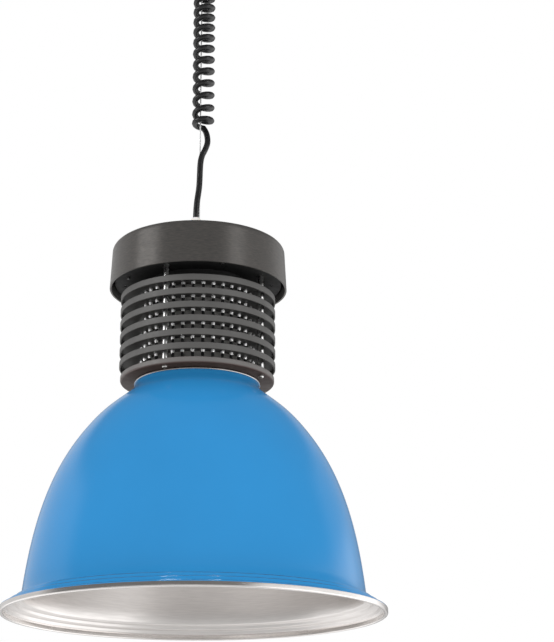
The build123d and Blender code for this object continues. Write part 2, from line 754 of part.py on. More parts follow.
bracket_bottom = ceiling - bracket_thickness
bracket_length = 2 * (canopy_radius - canopy_wall - 1.5)
with BuildPart() as ceiling_bracket:
    with BuildSketch(Plane.XY.offset(bracket_bottom)):
        Rectangle(bracket_length, bracket_width)
        with Locations((0, bracket_width)):
            Rectangle(32, bracket_width)
        with GridLocations(screw_spacing, 1, 2, 1):
            Circle(2.5, mode=Mode.SUBTRACT)
    extrude(amount=bracket_thickness)
    for side in (-1, 1):
        ear_y = side * (link_side / 2 + 0.2 + ear_thickness / 2)
        with Locations((0, ear_y, upper_pivot)):
            Cylinder(ear_radius, ear_thickness, rotation=(90, 0, 0))
            Box(2 * ear_radius, ear_thickness, bracket_bottom - upper_pivot + 1, align=upward)
        with Locations((side * (bracket_length - bracket_thickness) / 2, 0, bracket_bottom + 1)):
            Box(bracket_thickness, 14, 15, align=downward)
    with Locations((0, 0, upper_pivot)):
        Cylinder(pivot_pin_radius + 0.05, 30, rotation=(90, 0, 0), mode=Mode.SUBTRACT)
    with Locations((0, 0, bracket_bottom - 8)):
        Cylinder(1.6, 2 * canopy_radius, rotation=(0, 90, 0), mode=Mode.SUBTRACT)
ceiling_bracket.part.label = "ceiling_bracket"
export_step(ceiling_bracket.part, "parts/ceiling_bracket.step")

with BuildPart(Plane.XY.offset(ceiling - gap)) as canopy:
    Cylinder(canopy_radius, canopy_height, align=downward)
    fillet(canopy.faces().sort_by(Axis.Z)[0].edges(), 5.0)
    offset(amount=-canopy_wall, openings=canopy.faces().sort_by(Axis.Z)[-1])
    Cylinder(canopy_opening, 2 * canopy_height, align=downward, mode=Mode.SUBTRACT)
    with Locations((0, 0, bracket_bottom - 8 - ceiling + gap)):
        Cylinder(1.6, 3 * canopy_radius, rotation=(0, 90, 0), mode=Mode.SUBTRACT)
canopy.part.label = "canopy"
export_step(canopy.part, "parts/canopy.step")

with BuildPart() as canopy_screws:
    for side in (-1, 1):
        with Locations(Plane((side * (canopy_radius + gap), 0, bracket_bottom - 8), z_dir=(side, 0, 0))):
            Cylinder(3.0, 1.8, align=upward)
            Cylinder(1.5, 7.0, align=downward)
canopy_screws.part.label = "canopy_screws"
export_step(canopy_screws.part, "parts/canopy_screws.step")

with BuildPart(Plane.XY.offset(bracket_bottom - gap)) as ceiling_terminal:
    with Locations((0, 26)):
        Box(28, 14, 12, align=downward)
    fillet(ceiling_terminal.edges().filter_by(Axis.Z), 1.5)
    with Locations((0, 26, -12)):
        with GridLocations(9, 1, 3, 1):
            Cylinder(2.4, 5, align=upward, mode=Mode.SUBTRACT)
ceiling_terminal.part.label = "ceiling_terminal"
export_step(ceiling_terminal.part, "parts/ceiling_terminal.step")
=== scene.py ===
"""The looks of the hanging grow lamp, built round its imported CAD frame.

Lengths are in metres, named values marked _mm are in millimetres. +Z points up the wire, -Y is the front.
"""

import math

import bmesh
import bpy
from mathutils import Matrix, Vector


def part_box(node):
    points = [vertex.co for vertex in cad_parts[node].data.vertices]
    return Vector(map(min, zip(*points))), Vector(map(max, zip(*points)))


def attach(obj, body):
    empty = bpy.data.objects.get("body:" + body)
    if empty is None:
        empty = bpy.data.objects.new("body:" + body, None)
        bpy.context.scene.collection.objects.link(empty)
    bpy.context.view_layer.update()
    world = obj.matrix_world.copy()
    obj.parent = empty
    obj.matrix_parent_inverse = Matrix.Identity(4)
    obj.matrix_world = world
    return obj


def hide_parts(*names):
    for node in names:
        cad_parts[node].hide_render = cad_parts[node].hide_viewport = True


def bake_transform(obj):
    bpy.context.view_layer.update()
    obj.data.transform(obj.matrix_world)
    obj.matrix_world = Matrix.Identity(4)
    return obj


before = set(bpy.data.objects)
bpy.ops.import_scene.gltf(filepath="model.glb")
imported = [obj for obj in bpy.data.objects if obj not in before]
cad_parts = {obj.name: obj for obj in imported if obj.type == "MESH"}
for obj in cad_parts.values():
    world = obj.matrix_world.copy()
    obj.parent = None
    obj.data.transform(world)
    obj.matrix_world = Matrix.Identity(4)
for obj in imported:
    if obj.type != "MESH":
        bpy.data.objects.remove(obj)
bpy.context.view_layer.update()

MM = 0.001
GAP = 0.1 * MM  # clearance that the CAD model keeps between pieces that touch
TURN_OVER = Matrix.Rotation(math.pi, 4, "X")

# where the heat sink's pins and rods stand: radius, count and degrees from +X to the first one
PIN_PLACES = (60 * MM, 36, 7.8)
ROD_PLACES = (73.5 * MM, 4, 66.2)
PIN_RADIUS = 1.5 * MM
WEB = 1.5 * MM  # thickness of a fin ring's web
CORD_RADIUS = 3.25 * MM


# ---------------------------------------------------------------- meshes


class Shape:
    """Points and faces of a mesh in the making. kinds holds one material number per face."""

    def __init__(self):
        self.points, self.faces, self.kinds = [], [], []

    def ring(self, points):
        start = len(self.points)
        self.points += [Vector(p) for p in points]
        return list(range(start, len(self.points)))

    def face(self, corners, kind=0):
        self.faces.append(tuple(corners))
        self.kinds.append(kind)

    def bridge(self, a, b, kind=0):
        """Quads between two closed rings, or a fan where one of them is a single point."""
        count = max(len(a), len(b))
        for i in range(count):
            j = (i + 1) % count
            if len(a) == 1:
                self.face((a[0], b[j], b[i]), kind)
            elif len(b) == 1:
                self.face((a[i], a[j], b[0]), kind)
            else:
                self.face((a[i], a[j], b[j], b[i]), kind)

    def add(self, other, matrix=None, kind=None):
        start = len(self.points)
        self.points += [matrix @ p if matrix else p.copy() for p in other.points]
        self.faces += [tuple(start + c for c in f) for f in other.faces]
        self.kinds += other.kinds if kind is None else [kind] * len(other.kinds)
        return self

    def at(self, matrices):
        """A shape with one copy of this one at each matrix."""
        many = Shape()
        for matrix in matrices:
            many.add(self, matrix)
        return many


def spun(outline, count=96, closed=False, kinds=None):
    """Turns an outline of (radius, height) points about Z. A radius may be a function of the angle."""
    shape = Shape()
    angles = [2 * math.pi * i / count for i in range(count)]
    rings = []
    for radius, height in outline:
        if radius == 0:
            rings.append(shape.ring([(0, 0, height)]))
            continue
        reach = radius if callable(radius) else lambda angle, r=radius: r
        rings.append(shape.ring([(reach(a) * math.cos(a), reach(a) * math.sin(a), height) for a in angles]))
    pairs = list(zip(rings, rings[1:]))
    if closed:
        pairs.append((rings[-1], rings[0]))
    for i, (a, b) in enumerate(pairs):
        if len(a) > 1 or len(b) > 1:
            shape.bridge(a, b, kinds[i] if kinds else 0)
    return shape


def rounded(corners, arc_steps=4):
    """An outline whose corners (radius, height, rounding) are replaced by arcs."""
    outline = []
    for i, corner in enumerate(corners):
        here = Vector(corner[:2])
        size = corner[2] if len(corner) > 2 else 0
        if size == 0 or i in (0, len(corners) - 1):
            outline.append(tuple(here))
            continue
        back = (Vector(corners[i - 1][:2]) - here).normalized()
        ahead = (Vector(corners[i + 1][:2]) - here).normalized()
        half = back.angle(ahead) / 2
        cut = size / math.tan(half)
        centre = here + (back + ahead).normalized() * (size / math.sin(half))
        first, last = here + back * cut - centre, here + ahead * cut - centre
        for step in range(arc_steps + 1):
            share = step / arc_steps
            arm = first.lerp(last, share).normalized() * size
            outline.append(tuple(centre + arm))
    return outline


def tube(path, radius, sides=16):
    """A round tube with closed ends along a path of points."""
    shape = Shape()
    path = [Vector(p) for p in path]
    tangents = [(b - a).normalized() for a, b in zip(path, path[1:])]
    tangents = [tangents[0]] + [(a + b).normalized() for a, b in zip(tangents, tangents[1:])] + [tangents[-1]]
    side = tangents[0].orthogonal().normalized()
    rings = []
    for point, tangent in zip(path, tangents):
        side = (side - tangent * side.dot(tangent)).normalized()
        across = tangent.cross(side)
        turn = [2 * math.pi * i / sides for i in range(sides)]
        rings.append(shape.ring([point + radius * (side * math.cos(t) + across * math.sin(t)) for t in turn]))
    for a, b in zip(rings, rings[1:]):
        shape.bridge(a, b)
    shape.face(reversed(rings[0]))
    shape.face(rings[-1])
    return shape


def through(points, steps=8):
    """A smooth path (Catmull-Rom) through the points, with the ends kept."""
    points = [Vector(p) for p in points]
    padded = [2 * points[0] - points[1], *points, 2 * points[-1] - points[-2]]
    path = []
    for a, b, c, d in zip(padded, padded[1:], padded[2:], padded[3:]):
        for i in range(steps):
            t = i / steps
            square, cube = 2 * a - 5 * b + 4 * c - d, 3 * b - a - 3 * c + d
            path.append(0.5 * (2 * b + (c - a) * t + square * t**2 + cube * t**3))
    path.append(points[-1])
    return path


def piece(name, shape, materials, body=None, replaces=(), sharp=32):
    """Makes a Blender object of a shape, outward-facing and smooth up to a corner angle."""
    mesh = bpy.data.meshes.new(name)
    mesh.from_pydata([tuple(p) for p in shape.points], [], shape.faces)
    mesh.polygons.foreach_set("material_index", shape.kinds)
    for material in materials:
        mesh.materials.append(material)
    work = bmesh.new()
    work.from_mesh(mesh)
    bmesh.ops.recalc_face_normals(work, faces=work.faces)
    work.to_mesh(mesh)
    work.free()
    mesh.polygons.foreach_set("use_smooth", [True] * len(mesh.polygons))
    mesh.set_sharp_from_angle(angle=math.radians(sharp))
    thing = bpy.data.objects.new(name, mesh)
    bpy.context.scene.collection.objects.link(thing)
    if body:
        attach(thing, body)
    if replaces:
        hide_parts(*replaces)
    return thing


def circle_places(radius, count, start_degrees, height):
    """Matrices for things spread round the lamp's axis, each turned to face outwards."""
    places = []
    for i in range(count):
        angle = math.radians(start_degrees) + 2 * math.pi * i / count
        turn = Matrix.Rotation(angle, 4, "Z")
        places.append(turn @ Matrix.Translation((radius, 0, height)))
    return places


def facing(point, direction):
    """Matrix that stands a shape's Z axis along a direction, at a point."""
    return Matrix.Translation(point) @ Vector(direction).to_track_quat("Z", "Y").to_matrix().to_4x4()


def hexagon(across_flats, limit=None):
    """Radius of a hexagon at each angle, cut to a circle if a limit is given."""

    def reach(angle):
        sector = angle % (math.pi / 3) - math.pi / 6
        radius = across_flats / 2 / math.cos(sector)
        return min(radius, limit) if limit else radius

    return reach


def socket_screw(head_radius, head_height, shank_radius, shank_length):
    """A button head screw with a hexagon socket. Z points out of the head, and the shank goes down."""
    h, r = head_height, head_radius
    key = hexagon(head_radius * 0.95)
    outline = [
        (0, -shank_length),
        (shank_radius * 0.8, -shank_length),
        (shank_radius, -shank_length + shank_radius * 0.4),
        (shank_radius, 0),
        (r * 0.97, 0),
        (r, h * 0.12),
        (r * 0.97, h * 0.42),
        (r * 0.85, h * 0.72),
        (r * 0.70, h * 0.92),
        (r * 0.60, h),
        (key, h),
        (key, h * 0.35),
        (0, h * 0.30),
    ]
    return spun(outline, 36)


def hex_nut(across_flats, height, bore):
    """A nut with both faces chamfered, standing on Z = 0."""
    low, full = hexagon(across_flats, across_flats * 0.52), hexagon(across_flats)
    bevel = height * 0.14
    outline = [(bore, bevel * 0.6), (bore + bevel * 0.6, 0), (low, 0), (full, bevel), (full, height - bevel)]
    outline += [(low, height), (bore + bevel * 0.6, height), (bore, height - bevel * 0.6)]
    return spun(outline, 72, closed=True)


# ---------------------------------------------------------------- materials


class Finish:
    """A procedural material in the making: a Principled shader and the nodes that drive it."""

    def __init__(self, name, colour, metallic=0.0, roughness=0.5):
        self.material = bpy.data.materials.new(name)
        self.material.use_nodes = True
        self.nodes = self.material.node_tree.nodes
        self.shader = self.nodes["Principled BSDF"]
        self.shader.inputs["Metallic"].default_value = metallic
        self.shader.inputs["Roughness"].default_value = roughness
        self.shader.inputs["Base Color"].default_value = (*colour, 1)
        self.colour = colour
        self.place = self.node("ShaderNodeTexCoord").outputs["Object"]
        self.height = None

    def node(self, kind, **settings):
        made = self.nodes.new(kind)
        for key, value in settings.items():
            setattr(made, key, value)
        return made

    def join(self, source, target):
        self.material.node_tree.links.new(source, target)

    def math(self, operation, a, b=0.0):
        made = self.node("ShaderNodeMath", operation=operation)
        for value, socket in zip((a, b), made.inputs):
            if isinstance(value, (int, float)):
                socket.default_value = value
            else:
                self.join(value, socket)
        return made.outputs[0]

    def noise(self, scale, detail=4.0, stretch=(1, 1, 1), where=None, distortion=0.0):
        """Noise between 0 and 1. stretch scales the axes, so (1, 1, 0.02) gives upright streaks."""
        mapping = self.node("ShaderNodeMapping")
        mapping.inputs["Scale"].default_value = stretch
        self.join(where or self.place, mapping.inputs["Vector"])
        made = self.node("ShaderNodeTexNoise")
        made.inputs["Scale"].default_value = scale
        made.inputs["Detail"].default_value = detail
        made.inputs["Distortion"].default_value = distortion
        self.join(mapping.outputs["Vector"], made.inputs["Vector"])
        return made.outputs["Fac"]

    def lathe_place(self, turn_weight):
        """A coordinate that runs along and out from the Z axis, and only slowly round it."""
        split = self.node("ShaderNodeSeparateXYZ")
        self.join(self.place, split.inputs[0])
        x, y, z = split.outputs
        out = self.math("SQRT", self.math("ADD", self.math("MULTIPLY", x, x), self.math("MULTIPLY", y, y)))
        turn = self.math("MULTIPLY", self.math("ARCTAN2", y, x), turn_weight)
        both = self.node("ShaderNodeCombineXYZ")
        self.join(out, both.inputs[0])
        self.join(turn, both.inputs[1])
        self.join(z, both.inputs[2])
        return both.outputs[0]

    def spread(self, value, low, high):
        """Maps a 0 to 1 value to a range."""
        made = self.node("ShaderNodeMapRange")
        made.inputs["From Min"].default_value = 0.3
        made.inputs["From Max"].default_value = 0.7
        made.inputs["To Min"].default_value = low
        made.inputs["To Max"].default_value = high
        self.join(value, made.inputs["Value"])
        return made.outputs["Result"]

    def vary_colour(self, value, amount, tint=(1, 1, 1)):
        """Darkens and lightens the base colour by a share as the value runs from 0 to 1."""
        ramp = self.node("ShaderNodeMix", data_type="RGBA")
        ramp.inputs[6].default_value = (*[c * (1 - amount) for c in self.colour], 1)
        ramp.inputs[7].default_value = (*[min(1, c * (1 + amount) * t) for c, t in zip(self.colour, tint)], 1)
        self.join(self.spread(value, 0, 1), ramp.inputs[0])
        self.join(ramp.outputs[2], self.shader.inputs["Base Color"])
        return ramp.outputs[2]

    def vary_roughness(self, value, low, high):
        self.join(self.spread(value, low, high), self.shader.inputs["Roughness"])

    def bump(self, value, distance_mm, strength=1.0):
        """Adds relief. Several calls stack."""
        made = self.node("ShaderNodeBump")
        made.inputs["Strength"].default_value = strength
        made.inputs["Distance"].default_value = distance_mm * MM
        self.join(value, made.inputs["Height"])
        if self.height:
            self.join(self.height, made.inputs["Normal"])
        self.height = made.outputs["Normal"]
        self.join(self.height, self.shader.inputs["Normal"])

    def edge_wear(self, radius_mm, colour, amount=0.6):
        """Shows a lighter colour along outer edges, broken up by noise."""
        bevel = self.node("ShaderNodeBevel", samples=4)
        bevel.inputs["Radius"].default_value = radius_mm * MM
        geometry = self.node("ShaderNodeNewGeometry")
        dot = self.node("ShaderNodeVectorMath", operation="DOT_PRODUCT")
        self.join(bevel.outputs[0], dot.inputs[0])
        self.join(geometry.outputs["Normal"], dot.inputs[1])
        edge = self.math("SUBTRACT", 1.0, dot.outputs["Value"])
        worn = self.math("MULTIPLY", self.math("MULTIPLY", edge, 6.0), self.noise(90, 3))
        mask = self.math("MULTIPLY", self.math("MINIMUM", worn, 1.0), amount)
        mix = self.node("ShaderNodeMix", data_type="RGBA")
        base = self.shader.inputs["Base Color"]
        if base.is_linked:
            self.join(base.links[0].from_socket, mix.inputs[6])
        else:
            mix.inputs[6].default_value = base.default_value
        mix.inputs[7].default_value = (*colour, 1)
        self.join(mask, mix.inputs[0])
        self.join(mix.outputs[2], base)

    def by_height(self, low_mm, high_mm, below, above):
        """A value that changes from one to another between two heights."""
        split = self.node("ShaderNodeSeparateXYZ")
        self.join(self.place, split.inputs[0])
        made = self.node("ShaderNodeMapRange")
        values = (low_mm * MM, high_mm * MM, below, above)
        for key, value in zip(("From Min", "From Max", "To Min", "To Max"), values):
            made.inputs[key].default_value = value
        self.join(split.outputs["Z"], made.inputs["Value"])
        return made.outputs["Result"]

    def darken(self, mask, colour):
        """Mixes the base colour towards another where the mask is 1."""
        mix = self.node("ShaderNodeMix", data_type="RGBA")
        base = self.shader.inputs["Base Color"]
        self.join(base.links[0].from_socket, mix.inputs[6])
        mix.inputs[7].default_value = (*colour, 1)
        self.join(mask, mix.inputs[0])
        self.join(mix.outputs[2], base)

    def set(self, **values):
        for key, value in values.items():
            self.shader.inputs[key.replace("_", " ")].default_value = value
        return self


def gloss_lacquer(name, colour, bounce):
    """Baked lacquer on spun sheet: smooth, slightly waved, under a clear coat that is sharpest near the rim.

    Other surfaces see it in the bounce colour, so that little blue spills on the metal round it.
    """
    finish = Finish(name, colour, roughness=0.6)
    base = finish.vary_colour(finish.noise(9, 3), 0.03)
    path = finish.node("ShaderNodeLightPath")
    toned = finish.node("ShaderNodeMix", data_type="RGBA")
    toned.inputs[6].default_value = (*bounce, 1)
    finish.join(path.outputs["Is Camera Ray"], toned.inputs[0])
    finish.join(base, toned.inputs[7])
    finish.join(toned.outputs[2], finish.shader.inputs["Base Color"])
    finish.vary_roughness(finish.noise(60, 4), 0.55, 0.65)
    finish.bump(finish.noise(420, 2), 0.02, 0.1)
    finish.join(finish.by_height(19, 24, 0.04, 0.16), finish.shader.inputs["Coat Roughness"])
    finish.set(Coat_Weight=0.9, Specular_IOR_Level=0.0)
    return finish.material


def spun_silver(name, colour, roughness):
    """Anodised spun aluminium with fine rings left by the lathe."""
    finish = Finish(name, colour, metallic=1.0, roughness=roughness)
    lathe = finish.lathe_place(0.01)
    finish.vary_colour(finish.noise(900, 3, where=lathe), 0.05)
    finish.vary_roughness(finish.noise(500, 4, where=lathe), roughness - 0.05, roughness + 0.08)
    finish.bump(finish.noise(700, 2, where=lathe), 0.03, 0.4)
    return finish.material


def brushed_lacquer(name, colour):
    """Dark tinted lacquer over metal brushed round the drum, which draws reflections out upright."""
    finish = Finish(name, colour, metallic=0.5, roughness=0.4)
    lathe = finish.lathe_place(0.012)
    lines = finish.noise(1400, 4, where=lathe)
    finish.vary_colour(lines, 0.16, tint=(1.05, 1.0, 0.96))
    finish.vary_roughness(finish.noise(800, 3, where=lathe), 0.36, 0.46)
    finish.bump(lines, 0.03, 0.3)
    tangent = finish.node("ShaderNodeTangent", direction_type="RADIAL", axis="Z")
    finish.join(tangent.outputs[0], finish.shader.inputs["Tangent"])
    finish.set(Anisotropic=0.8, Anisotropic_Rotation=0.25)
    return finish.material


def powder_coat(name, colour, roughness=0.6, edge=None, painted_shade_above=None, painted_shade_under=None):
    """Satin coating with a fine orange-peel grain, thinner on edges, with painted shade above a height or on
    faces that look down.
    """
    finish = Finish(name, colour, roughness=roughness)
    finish.vary_colour(finish.noise(35, 4), 0.08)
    finish.vary_roughness(finish.noise(150, 3), roughness - 0.06, roughness + 0.06)
    finish.bump(finish.noise(1600, 2), 0.03, 0.5)
    if edge:
        finish.edge_wear(0.5, edge, 0.35)
    # Painted shade: above the height the colour goes nearly black, as if the cap shaded it.
    if painted_shade_above:
        finish.darken(finish.by_height(painted_shade_above, painted_shade_above + 3, 0.0, 1.0), (0.012, 0.012, 0.012))
    # Painted shade: faces that look down are mixed towards a dark warm colour, as if the reflector below kept
    # the light off them.
    if painted_shade_under:
        split = finish.node("ShaderNodeSeparateXYZ")
        geometry = finish.node("ShaderNodeNewGeometry")
        finish.join(geometry.outputs["Normal"], split.inputs[0])
        under = finish.math("MULTIPLY", split.outputs["Z"], -1.3)
        finish.darken(finish.math("MINIMUM", finish.math("MAXIMUM", under, 0.0), 1.0), painted_shade_under)
    return finish.material


def plated_steel(name, colour=(0.74, 0.74, 0.72), roughness=0.26, metallic=1.0):
    """Zinc or nickel plate with faint clouding."""
    finish = Finish(name, colour, metallic=metallic, roughness=roughness)
    finish.vary_colour(finish.noise(90, 3), 0.04, tint=(1.0, 1.0, 1.03))
    finish.vary_roughness(finish.noise(160, 3), roughness - 0.05, roughness + 0.08)
    finish.bump(finish.noise(1500, 2), 0.01, 0.4)
    return finish.material


def bare_sheet(name, colour=(0.70, 0.70, 0.71)):
    """Rolled aluminium with a straight grain."""
    finish = Finish(name, colour, metallic=1.0, roughness=0.38)
    grain = finish.noise(300, 4, stretch=(0.05, 1, 1))
    finish.vary_colour(grain, 0.07)
    finish.vary_roughness(grain, 0.3, 0.46)
    finish.bump(grain, 0.015, 0.4)
    return finish.material


def moulded(name, colour, roughness=0.45, soft=0.0):
    """Moulded plastic with a light spark-eroded grain."""
    finish = Finish(name, colour, roughness=roughness)
    finish.vary_colour(finish.noise(120, 3), 0.05)
    finish.vary_roughness(finish.noise(500, 3), roughness - 0.06, roughness + 0.08)
    finish.bump(finish.noise(1800, 2), 0.02, 0.5)
    if soft:
        finish.set(Subsurface_Weight=soft, Subsurface_Radius=(0.004, 0.003, 0.002))
    return finish.material


def rubber(name, colour, roughness=0.55, sheen=0.15):
    """Soft sheath or seal: matt, with dust-like mottling and a faint sheen."""
    finish = Finish(name, colour, roughness=roughness)
    mottle = finish.noise(260, 5)
    finish.vary_colour(mottle, 0.3)
    finish.vary_roughness(mottle, roughness - 0.1, roughness + 0.12)
    finish.bump(finish.noise(900, 3), 0.05, 0.6)
    finish.set(Sheen_Weight=sheen, Sheen_Roughness=0.5)
    return finish.material


def clear_glass(name):
    """Toughened glass with the faintest green and a little dust."""
    finish = Finish(name, (0.93, 0.98, 0.96), roughness=0.03)
    finish.set(Transmission_Weight=1.0, IOR=1.46)
    finish.vary_roughness(finish.noise(40, 4), 0.01, 0.06)
    return finish.material


def phosphor(name):
    """Yellow coating over the chips, which show faintly as a grid of small squares."""
    finish = Finish(name, (0.92, 0.62, 0.08), roughness=0.5)
    chips = finish.node("ShaderNodeTexBrick")
    chips.offset = 0.0
    chips.inputs["Color1"].default_value = (0.95, 0.68, 0.12, 1)
    chips.inputs["Color2"].default_value = (0.90, 0.60, 0.08, 1)
    chips.inputs["Mortar"].default_value = (0.80, 0.48, 0.05, 1)
    chips.inputs["Scale"].default_value = 420
    chips.inputs["Brick Width"].default_value = 1.0
    chips.inputs["Row Height"].default_value = 1.0
    chips.inputs["Mortar Size"].default_value = 0.12
    finish.join(finish.place, chips.inputs["Vector"])
    finish.join(chips.outputs["Color"], finish.shader.inputs["Base Color"])
    finish.bump(finish.noise(700, 3), 0.02, 0.4)
    return finish.material


def circuit_board(name):
    """Green solder resist with paler copper tracks under it."""
    finish = Finish(name, (0.03, 0.20, 0.07), roughness=0.35)
    tracks = finish.node("ShaderNodeTexVoronoi", distance="MANHATTAN")
    tracks.inputs["Scale"].default_value = 160
    finish.join(finish.place, tracks.inputs["Vector"])
    finish.vary_colour(tracks.outputs["Distance"], 0.35)
    finish.bump(tracks.outputs["Distance"], 0.03, 0.4)
    return finish.material


BLUE = gloss_lacquer("blue_lacquer", (0.0305, 0.308, 0.705), (0.10, 0.09, 0.085))
SILVER = spun_silver("silver_inside", (0.74, 0.71, 0.69), 0.34)
RIM_METAL = spun_silver("bare_rim", (0.80, 0.77, 0.75), 0.22)
NECK_METAL = spun_silver("bare_neck", (0.52, 0.50, 0.49), 0.26)
CAP_FINISH = brushed_lacquer("brushed_dark_lacquer", (0.095, 0.092, 0.089))
RING_FINISH = powder_coat("ring_coating", (0.095, 0.093, 0.090), 0.55, edge=(0.22, 0.215, 0.21))
# The base plate gets painted shade, dark and warm, on its underside.
PLATE_FINISH = powder_coat(
    "plate_coating", (0.15, 0.140, 0.135), 0.5, edge=(0.3, 0.27, 0.26), painted_shade_under=(0.09, 0.062, 0.058)
)
DARK_INSIDE = powder_coat("dark_inside", (0.010, 0.010, 0.010), 0.75)
# The core gets painted shade above 333 mm, where it stands up inside the cap.
CORE_FINISH = powder_coat("core_aluminium", (0.37, 0.36, 0.35), 0.6, painted_shade_above=333)
PIN_FINISH = powder_coat("pin_black", (0.012, 0.012, 0.013), 0.5)
STEEL = plated_steel("plated_steel")
# Painted highlight: near-white plating on the pin collars stands in for the glints on the pins.
GLINT_WHITE_STEEL = plated_steel("collars_whitened_for_glints", (0.96, 0.96, 0.95), 0.26, 0.5)
NICKEL = plated_steel("satin_nickel", (0.68, 0.65, 0.60), 0.22)
SHEET = bare_sheet("bare_sheet")
WIRE_FINISH = plated_steel("wire_strands", (0.86, 0.86, 0.85), 0.42, 0.5)
WHITE = moulded("white_plastic", (0.84, 0.82, 0.79), 0.42, soft=0.15)
BLACK_PLASTIC = moulded("black_plastic", (0.025, 0.025, 0.027), 0.5)
BOARD = circuit_board("circuit_board")
PHOSPHOR = phosphor("phosphor")
GLASS = clear_glass("clear_glass")
SILICONE = rubber("silicone", (0.55, 0.55, 0.52), 0.5)
PAD = rubber("thermal_pad", (0.20, 0.21, 0.23), 0.6)
CORD_FINISH = rubber("cord_sheath", (0.010, 0.010, 0.0105), 0.30, 0.0)
INSULATION = moulded("insulation", (0.35, 0.10, 0.04), 0.35)


# ---------------------------------------------------------------- CAD nodes that keep their shape


def dress(node, material):
    """Gives a CAD node its material."""
    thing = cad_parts[node]
    thing.data.materials.clear()
    thing.data.materials.append(material)


CAD_FINISHES = {
    "base_plate": PLATE_FINISH,
    "heat_sink_core": CORE_FINISH,
    "ring_spacers": STEEL,
    "tie_nuts": STEEL,
    "thermal_pad": PAD,
    "led_board": SHEET,
    "led_phosphor": PHOSPHOR,
    "led_holder": WHITE,
    "led_leads": INSULATION,
    "glass_retainer": SHEET,
    "glass_cover": GLASS,
    "glass_gasket": SILICONE,
    "driver_tray": DARK_INSIDE,
    "driver_case": SHEET,
    "driver_board": BOARD,
    "driver_components": BLACK_PLASTIC,
    "driver_lid": SHEET,
    "hanger_bridge": STEEL,
    "lamp_terminal": WHITE,
    "cord_cores": INSULATION,
    "cap_standoffs": STEEL,
    "wire_bolt": NICKEL,
    "wire_stop": NICKEL,
    "gland_locknut": WHITE,
    "gripper_body": NICKEL,
    "grip_balls": STEEL,
    "cord_clamp": BLACK_PLASTIC,
    "swivel_link": STEEL,
    "lower_pin": STEEL,
    "upper_pin": STEEL,
    "ceiling_bracket": STEEL,
    "canopy": CAP_FINISH,
    "ceiling_terminal": WHITE,
    "top_cap": CAP_FINISH,
}
for ring_number in range(1, 7):
    CAD_FINISHES[f"fin_ring_{ring_number}"] = RING_FINISH
for node_name, node_finish in CAD_FINISHES.items():
    dress(node_name, node_finish)


# ---------------------------------------------------------------- reflector


def outer_radius(node, height):
    """Largest distance from the Z axis at which a CAD node's mesh crosses a height."""
    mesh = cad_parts[node].data
    reach = 0.0
    for edge in mesh.edges:
        a, b = (mesh.vertices[i].co for i in edge.vertices)
        if (a.z - height) * (b.z - height) < 0:
            point = a.lerp(b, (height - a.z) / (b.z - a.z))
            reach = max(reach, math.hypot(point.x, point.y))
    return reach


def build_reflector():
    """One spun shell: lacquered outside, silver inside, with a stepped flare and a folded hem."""
    rim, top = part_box("reflector")[1].x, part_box("reflector")[1].z
    sheet = 1.5 * MM
    neck = outer_radius("reflector", top - 4 * MM)
    opening = 46 * MM
    bell_top, bell_foot = 229 * MM, 18.8 * MM
    bead = 1.3 * MM
    outer = [(opening, top)]
    for i in range(9):
        angle = math.pi / 2 - math.pi * i / 8
        outer.append((neck + bead * math.cos(angle), top - bead + bead * math.sin(angle)))
    blue_from = len(outer) - 3
    outer += [(neck, 238.2 * MM), (neck + 0.4 * MM, 236.3 * MM), (neck + 1.6 * MM, 234.0 * MM)]
    shoulder = len(outer) - 1
    steps = 46
    for i in range(steps + 1):
        # Heights are spaced by a cosine, so the shoulder gets the closest rings.
        height = bell_foot + (bell_top - bell_foot) * math.cos(math.pi / 2 * i / steps)
        outer.append((outer_radius("reflector", height), height))
    foot = outer[-1][0]
    hem_width, hem_height = 4.0 * MM, 6.0 * MM
    flare = rounded(
        [
            (foot, bell_foot),
            (foot + 0.9 * MM, 16.2 * MM, 2.0 * MM),
            (179.8 * MM, 14.7 * MM, 1.5 * MM),
            (181.3 * MM, 11.8 * MM, 1.2 * MM),
            (186.6 * MM, 10.3 * MM, 1.5 * MM),
            (188.1 * MM, 7.2 * MM, 1.2 * MM),
            (rim - 2.6 * MM, hem_height),
        ],
        6,
    )
    edge = rounded(
        [
            flare[-1],
            (rim, hem_height, 1.5 * MM),
            (rim, 0, 1.5 * MM),
            (rim - hem_width, 0, 1.2 * MM),
            (rim - hem_width, 4.9 * MM),
        ],
        5,
    )[1:]
    inner_flare = [(r - 0.85 * MM, z - 1.15 * MM) for r, z in reversed(flare[:-1])]
    inner_bell = []
    for (r0, z0), (r1, z1) in zip(outer[shoulder:-1], outer[shoulder + 1 :]):
        run, rise = r1 - r0, z1 - z0
        length = math.hypot(run, rise)
        inner_bell.append(((r0 + r1) / 2 + sheet * rise / length, (z0 + z1) / 2 - sheet * run / length))
    inner_bell.reverse()
    inner_top = [(neck - sheet, 237.5 * MM), (neck - sheet, top - sheet), (opening, top - sheet)]
    outline = outer + flare[1:] + edge + inner_flare + inner_bell + inner_top
    # The lacquer runs from the bead round the neck to the shoulder of the hem.
    bare_from = len(outer) + len(flare) - 1 + 4
    silver_from = len(outer) + len(flare) - 1 + len(edge)
    kinds = []
    for i in range(len(outline)):
        if blue_from <= i < bare_from:
            kinds.append(0)
        else:
            kinds.append(1 if i >= silver_from else 2 if i >= bare_from else 3)
    shape = spun(outline, 288, closed=True, kinds=kinds)
    metals = [SILVER, RIM_METAL, NECK_METAL]
    piece("reflector_shell", shape, [BLUE, *metals], "lamp", ["reflector"], sharp=50)


build_reflector()


# ---------------------------------------------------------------- heat sink details


